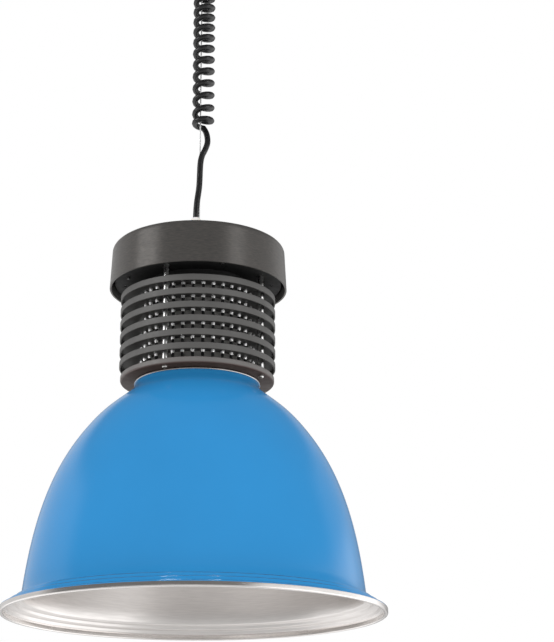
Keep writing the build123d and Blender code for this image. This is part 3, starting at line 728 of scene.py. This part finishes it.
def build_pins():
    """Black pins with a crimped collar under every ring's web; the collars are plated near white as a painted
    highlight, so they show as the pins' glints.
    """
    low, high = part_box("heat_pins")
    height = high.z - low.z
    bevel = 0.35 * MM
    outline = [(0, 0), (PIN_RADIUS - bevel, 0), (PIN_RADIUS, bevel), (PIN_RADIUS, height - bevel)]
    outline += [(PIN_RADIUS - bevel, height), (0, height)]
    radius, count, start = PIN_PLACES
    pins = spun(outline, 20).at(circle_places(radius, count, start, low.z))
    piece("heat_pin_set", pins, [PIN_FINISH], "lamp", ["heat_pins"])

    drop = 2.4 * MM
    collar_outline = rounded(
        [
            (PIN_RADIUS, 0),
            (PIN_RADIUS, -drop),
            (PIN_RADIUS + 0.3 * MM, -drop, 0.1 * MM),
            (PIN_RADIUS + 0.5 * MM, -1.3 * MM, 0.5 * MM),
            (PIN_RADIUS + 0.55 * MM, -0.05 * MM),
        ],
        3,
    )
    webs = [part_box(f"fin_ring_{number}")[1].z - WEB for number in range(1, 7)]
    places = [place for web in webs for place in circle_places(radius, count, start, web)]
    piece("pin_collars", spun(collar_outline, 20).at(places), [GLINT_WHITE_STEEL], "lamp", ())


def build_tie_rods():
    """Long screws from under the base plate to the top ring, each one shaft and head."""
    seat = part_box("base_plate")[0].z - GAP
    screw = socket_screw(3.0 * MM, 2.2 * MM, 1.5 * MM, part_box("tie_rods")[1].z - seat)
    places = [place @ TURN_OVER for place in circle_places(*ROD_PLACES, seat)]
    piece("tie_rod_set", screw.at(places), [STEEL], "lamp", ["tie_rods"])


build_pins()
build_tie_rods()


# ---------------------------------------------------------------- screws


def screws(node, places, head, shank, body="lamp"):
    """A set of like screws in place of a node. head and shank are (radius, length) in millimetres."""
    head_radius, head_height = (size * MM for size in head)
    shank_radius, shank_length = (size * MM for size in shank)
    shape = socket_screw(head_radius, head_height, shank_radius, shank_length)
    name = node.replace("screws", "screw_set")
    piece(name, shape.at(places), [STEEL], body, [node])


def screws_from_below(node, depth, circle, count, start, head, shank):
    """Screws driven upwards on a circle, whose heads sit so deep in the height of the node."""
    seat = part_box(node)[0].z + depth * MM
    places = [place @ TURN_OVER for place in circle_places(circle * MM, count, start, seat)]
    screws(node, places, head, shank)


def build_screws():
    """All screws but the tie rods."""
    cap_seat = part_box("top_cap")[1].z + GAP
    screws("cap_screws", circle_places(78 * MM, 4, 21.2, cap_seat), (3.2, 1.8), (1.5, 10))
    screws_from_below("reflector_screws", 2.0, 55, 4, 0, (2.8, 2.0), (1.5, 8.4))
    screws_from_below("holder_screws", 1.8, 26.5, 2, 0, (2.6, 1.8), (1.5, 10))
    screws_from_below("core_screws", 1.6, 38, 4, 45, (3.8, 1.5), (1.7, 10))
    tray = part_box("driver_tray")[1].z + GAP
    case_ear, bridge_foot = 1.6, 2.6
    spots = [(62.5, case_ear), (-62.5, case_ear), (78, bridge_foot), (-78, bridge_foot)]
    places = [Matrix.Translation((x * MM, 0, tray + height * MM)) for x, height in spots]
    screws("tray_screws", places, (3.0, 1.8), (1.5, 4.1))
    low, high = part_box("canopy_screws")
    head = (3.0, 1.8)
    seat = high.x - head[1] * MM
    places = [facing((side * seat, 0, (low.z + high.z) / 2), (side, 0, 0)) for side in (-1, 1)]
    screws("canopy_screws", places, head, (1.5, 7), "ceiling_mount")


build_screws()


# ---------------------------------------------------------------- wire anchor and cord gland


def build_gland():
    """White gland: flanged body with a ribbed clamping nut that tapers to the cord."""
    low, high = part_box("gland_body")
    centre = Vector(((low.x + high.x) / 2, (low.y + high.y) / 2, 0))
    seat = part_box("top_cap")[1].z + GAP
    bore, thread, flange = CORD_RADIUS + GAP, 5.2 * MM, 7.5 * MM
    flange_top = seat + 3 * MM
    body_outline = rounded(
        [
            (bore, low.z),
            (thread, low.z, 0.4 * MM),
            (thread, seat, 0.1 * MM),
            (flange, seat, 0.3 * MM),
            (flange, flange_top, 1.0 * MM),
            (thread, flange_top, 0.2 * MM),
            (thread, high.z, 0.4 * MM),
            (bore, high.z),
        ]
    )
    body = spun(body_outline, 64, closed=True).at([Matrix.Translation(centre)])
    piece("gland_body_moulded", body, [WHITE], "lamp", ["gland_body"])

    low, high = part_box("gland_nut")
    ribs = 18

    def ribbed(angle):
        return (6.35 + 0.25 * math.cos(ribs * angle)) * MM

    smooth, inside = 6.15 * MM, 5.3 * MM
    taper_foot, ceiling = low.z + 13.5 * MM, low.z + 9.4 * MM
    nut_outline = [(inside, low.z), (smooth - 0.5 * MM, low.z), (smooth, low.z + 0.5 * MM)]
    nut_outline += [(smooth, low.z + 1.0 * MM), (ribbed, low.z + 1.6 * MM), (ribbed, low.z + 10.5 * MM)]
    nut_outline += [(smooth, low.z + 11.3 * MM), (smooth, taper_foot)]
    taper_steps = 5
    for i in range(1, taper_steps + 1):
        share = i / taper_steps
        radius = smooth - 1.75 * MM * share**1.4
        nut_outline.append((radius, taper_foot + (high.z - taper_foot) * share))
    nut_outline += [(bore, high.z), (bore, ceiling), (inside, ceiling)]
    nut = spun(nut_outline, 144, closed=True).at([Matrix.Translation(centre)])
    piece("gland_nut_ribbed", nut, [WHITE], "lamp", ["gland_nut"])


def build_wire_nut():
    """The nut under the bolt that holds the wire's lower end."""
    low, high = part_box("wire_bolt_nut")
    nut = hex_nut(8 * MM, high.z - low.z, 2.6 * MM).at([Matrix.Translation((0, 0, low.z))])
    piece("wire_bolt_hex_nut", nut, [NICKEL], "lamp", ["wire_bolt_nut"])


build_gland()
build_wire_nut()


# ---------------------------------------------------------------- wire and cord

COIL_X = 3.0 * MM
COIL_RADIUS = 9.25 * MM
COIL_BASE = 545.2 * MM
COIL_FIRST, COIL_LAST = -0.75, 14.25  # in turns from the first pass of +X


def coil_point(turn):
    """Centre of the cord after so many turns from +X, counter-clockwise seen from above."""
    angle = 2 * math.pi * turn
    # The pitch falls slowly on the way up. Below the first turn the cord leaves at a flatter slope.
    rise = (16.0 * turn - 0.2 * turn**2 if turn > 0 else 6.0 * turn) * MM
    return Vector((COIL_X + COIL_RADIUS * math.cos(angle), COIL_RADIUS * math.sin(angle), COIL_BASE + rise))


def build_cord():
    """One cord from the gland to the canopy, coiled in the middle."""
    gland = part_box("gland_nut")
    x, y = (gland[0].x + gland[1].x) / 2, (gland[0].y + gland[1].y) / 2
    foot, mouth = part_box("cord_tail")[0].z, gland[1].z
    rise = [(x, y, foot), (x, y, foot + 15 * MM), (x, y, mouth - 12 * MM), (x, y, mouth)]
    bends = [(-2.2, -12.0, 442), (0.0, -9.5, 463), (0.8, -7.5, 489), (2.4, -6.0, 500), (5.6, -4.0, 508.5)]
    bends += [(8.0, -1.5, 517.5), (7.6, 3.0, 527.0), (5.8, 7.4, 535.0)]
    rise += [tuple(c * MM for c in p) for p in bends]
    steps = 16 * 15
    coil = [coil_point(COIL_FIRST + (COIL_LAST - COIL_FIRST) * i / steps) for i in range(steps + 1)]
    end = coil[-1]
    cord_y, top = 14 * MM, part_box("cord_head")[1].z
    drop = [(-1.6 * MM, 10.6 * MM, end.z + 5 * MM), (-1.0 * MM, 13.0 * MM, end.z + 12 * MM)]
    drop += [(0, cord_y, end.z + 22 * MM), (0, cord_y, end.z + 40 * MM), (0, cord_y, top - 10 * MM)]
    drop += [(0, cord_y, top)]
    path = through([*rise, coil[0]])[:-1] + coil + through([end, *drop])[1:]
    shape = tube(path, CORD_RADIUS, 18)
    nodes = ["cord_tail", "cord_coil", "cord_head"]
    cord = piece("power_cord", shape, [CORD_FINISH], None, nodes)
    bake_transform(cord)


def build_wire():
    """Six steel strands twisted round a core strand."""
    low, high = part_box("suspension_wire")
    strand, ring, lay, steps_per_lay = 0.27 * MM, 0.53 * MM, 9 * MM, 10
    shape = Shape()
    count = round((high.z - low.z) / lay * steps_per_lay)
    heights = [low.z + (high.z - low.z) * i / count for i in range(count + 1)]
    for k in range(6):
        path = []
        for z in heights:
            angle = 2 * math.pi * (k / 6 + (z - low.z) / lay)
            path.append((ring * math.cos(angle), ring * math.sin(angle), z))
        shape.add(tube(path, strand, 6))
    shape.add(tube([(0, 0, low.z), (0, 0, high.z)], strand, 8))
    wire = piece("stranded_wire", shape, [WIRE_FINISH], None, ["suspension_wire"], sharp=60)
    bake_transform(wire)


build_cord()
build_wire()


# ---------------------------------------------------------------- gripper


def build_sleeve():
    """The release sleeve's push ring is knurled."""
    low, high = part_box("release_sleeve")
    teeth = 40

    def knurl(angle):
        return (5.35 + 0.22 * math.cos(teeth * angle)) * MM

    bore, rim = 1.2 * MM, 5.2 * MM
    outline = [(bore, low.z + 0.5 * MM), (1.7 * MM, low.z), (4.8 * MM, low.z), (rim, low.z + 0.4 * MM)]
    outline += [(knurl, low.z + 0.7 * MM), (knurl, low.z + 2.5 * MM), (rim, low.z + 2.8 * MM)]
    outline += [(4.5 * MM, low.z + 3.0 * MM), (4.5 * MM, high.z), (bore, high.z)]
    sleeve = spun(outline, 240, closed=True)
    piece("release_sleeve_knurled", sleeve, [NICKEL], "release", ["release_sleeve"])


def build_spring():
    """The coil spring over the balls, which the rising sleeve presses against the top of its chamber."""
    low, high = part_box("release_spring")
    wire, radius, turns, steps = 0.4 * MM, 3.6 * MM, 4, 28
    bottom, top = low.z + wire, high.z - wire
    path = []
    for i in range(turns * steps + 1):
        angle = 2 * math.pi * i / steps
        height = bottom + (top - bottom) * i / (turns * steps)
        path.append((radius * math.cos(angle), radius * math.sin(angle), height))
    shape = tube(path, wire, 10)
    spring = piece("release_spring_wound", shape, [STEEL], None, ["release_spring"], sharp=60)
    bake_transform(spring)


build_sleeve()
build_spring()


# ---------------------------------------------------------------- stage, light and camera


def stage_material(name, colour):
    """Matt paint that brightens into the white backdrop far away."""
    finish = Finish(name, colour, roughness=0.7)
    finish.vary_colour(finish.noise(0.6, 2), 0.015)
    distance = finish.node("ShaderNodeVectorMath", operation="LENGTH")
    finish.join(finish.place, distance.inputs[0])
    far = finish.node("ShaderNodeMapRange", interpolation_type="SMOOTHSTEP")
    far.inputs["From Min"].default_value = 3.0
    far.inputs["From Max"].default_value = 16.0
    finish.join(distance.outputs["Value"], far.inputs["Value"])
    finish.darken(far.outputs["Result"], (0, 0, 0))
    finish.join(far.outputs["Result"], finish.shader.inputs["Emission Strength"])
    finish.set(Emission_Color=(1, 1, 1, 1), Specular_IOR_Level=0.0)
    return finish.material


def build_stage():
    """A pale floor well below the lamp."""
    shape = Shape()
    reach, level = 60.0, -1.9
    corners = [(-reach, -reach, level), (reach, -reach, level), (reach, reach, level), (-reach, reach, level)]
    shape.face(shape.ring(corners))
    floor = piece("floor", shape, [stage_material("floor_paint", (0.90, 0.90, 0.895))])
    floor.visible_glossy = False


def area_light(name, place, target, width, height, watts):
    """A white rectangular lamp that shines from a place at a target."""
    data = bpy.data.lights.new(name, "AREA")
    data.shape, data.size, data.size_y, data.energy = "RECTANGLE", width, height, watts
    lamp = bpy.data.objects.new(name, data)
    aim = (Vector(target) - Vector(place)).to_track_quat("-Z", "Y")
    lamp.matrix_world = Matrix.Translation(place) @ aim.to_matrix().to_4x4()
    bpy.context.scene.collection.objects.link(lamp)
    return lamp


def build_world():
    """White to the camera, and even to matt surfaces. Shiny ones see a room.

    The room is grey in front, with a pale floor, a white backdrop behind and a low window on the right.
    """
    world = bpy.data.worlds.new("studio")
    world.use_nodes = True
    nodes, links = world.node_tree.nodes, world.node_tree.links

    def smooth(value, start, end, low=0.0, high=1.0):
        made = nodes.new("ShaderNodeMapRange")
        made.interpolation_type = "SMOOTHSTEP"
        for key, number in zip(("From Min", "From Max", "To Min", "To Max"), (start, end, low, high)):
            made.inputs[key].default_value = number
        links.new(value, made.inputs["Value"])
        return made.outputs["Result"]

    def combine(operation, a, b):
        made = nodes.new("ShaderNodeMath")
        made.operation = operation
        for value, socket in zip((a, b), made.inputs):
            if isinstance(value, float):
                socket.default_value = value
            else:
                links.new(value, socket)
        return made.outputs[0]

    def choose(test, no, yes):
        made = nodes.new("ShaderNodeMix")
        links.new(test, made.inputs[0])
        links.new(no, made.inputs[2])
        made.inputs[3].default_value = yes
        return made.outputs[0]

    place = nodes.new("ShaderNodeTexCoord")
    split = nodes.new("ShaderNodeSeparateXYZ")
    links.new(place.outputs["Generated"], split.inputs[0])
    x, y, z = split.outputs
    leftward = combine("MAXIMUM", combine("MULTIPLY", x, -0.35), 0.0)
    backdrop = smooth(combine("ADD", y, leftward), 0.2, 0.5)
    backdrop = combine("MULTIPLY", backdrop, smooth(x, -0.3, 0.3, 0.55, 0.35))
    backdrop = combine("MULTIPLY", backdrop, smooth(z, 0.50, 0.62, 1.0, 0.0))
    backdrop = combine("MULTIPLY", backdrop, smooth(y, 0.87, 0.94, 1.0, 0.3))
    window = combine("MULTIPLY", smooth(x, 0.45, 0.75, 0.0, 0.9), smooth(z, 0.25, 0.36, 1.0, 0.0))
    room = combine("ADD", smooth(z, -0.28, -0.05, 0.68, 0.18), combine("ADD", backdrop, window))
    path = nodes.new("ShaderNodeLightPath")
    strength = choose(path.outputs["Is Diffuse Ray"], room, 0.95)
    strength = choose(path.outputs["Is Camera Ray"], strength, 1.0)
    background = nodes["Background"]
    background.inputs["Color"].default_value = (1, 1, 1, 1)
    links.new(strength, background.inputs["Strength"])
    bpy.context.scene.world = world


def light_only(lamp, things):
    """Limits a lamp to some things."""
    receivers = bpy.data.collections.new(f"{lamp.name}_receivers")
    for thing in things:
        receivers.objects.link(thing)
    lamp.light_linking.receiver_collection = receivers


def build_lights():
    """Softboxes for all but the reflector, a strip for its flange, and low lamps for the pins' collars."""
    shell = bpy.data.objects["reflector_shell"]
    collars = bpy.data.objects["pin_collars"]
    unlit = (shell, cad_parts["ceiling_bracket"])
    others = [thing for thing in bpy.data.objects if thing.type == "MESH" and thing not in unlit]
    cap, sink, front_rim = (0, 0, 0.30), (0, 0, 0.28), (0, -0.18, 0)
    light_only(area_light("left_softbox", (-2.19, -0.98, 1.10), cap, 1.3, 0.9, 18), others)
    light_only(area_light("right_softbox", (1.89, -1.48, 1.10), cap, 0.85, 0.9, 7), others)
    strip = area_light("rim_strip", (-0.06, 0.50, 2.2), front_rim, 0.6, 0.36, 18)
    strip.visible_diffuse = False
    light_only(strip, [shell])
    light_only(area_light("left_glint", (-1.65, -0.6, -0.35), sink, 0.5, 0.5, 32), [collars])
    light_only(area_light("right_glint", (1.6, -0.8, -0.35), sink, 0.4, 0.4, 22), [collars])


def build_camera():
    """Below the lamp, looking up at it, with the lamp to the left of the picture's middle."""
    data = bpy.data.cameras.new("camera")
    data.sensor_width, data.lens = 36.0, 92.46
    level, tilt_up, roll = 90, 18.088, -0.195
    camera = bpy.data.objects.new("camera", data)
    aim = Matrix.Rotation(math.radians(level + tilt_up), 4, "X") @ Matrix.Rotation(math.radians(roll), 4, "Z")
    camera.matrix_world = Matrix.Translation((0.0840, -1.6666, -0.2324)) @ aim
    bpy.context.scene.collection.objects.link(camera)
    bpy.context.scene.camera = camera


build_stage()
build_world()
build_lights()
build_camera()
bpy.context.scene.view_settings.view_transform = "Standard"
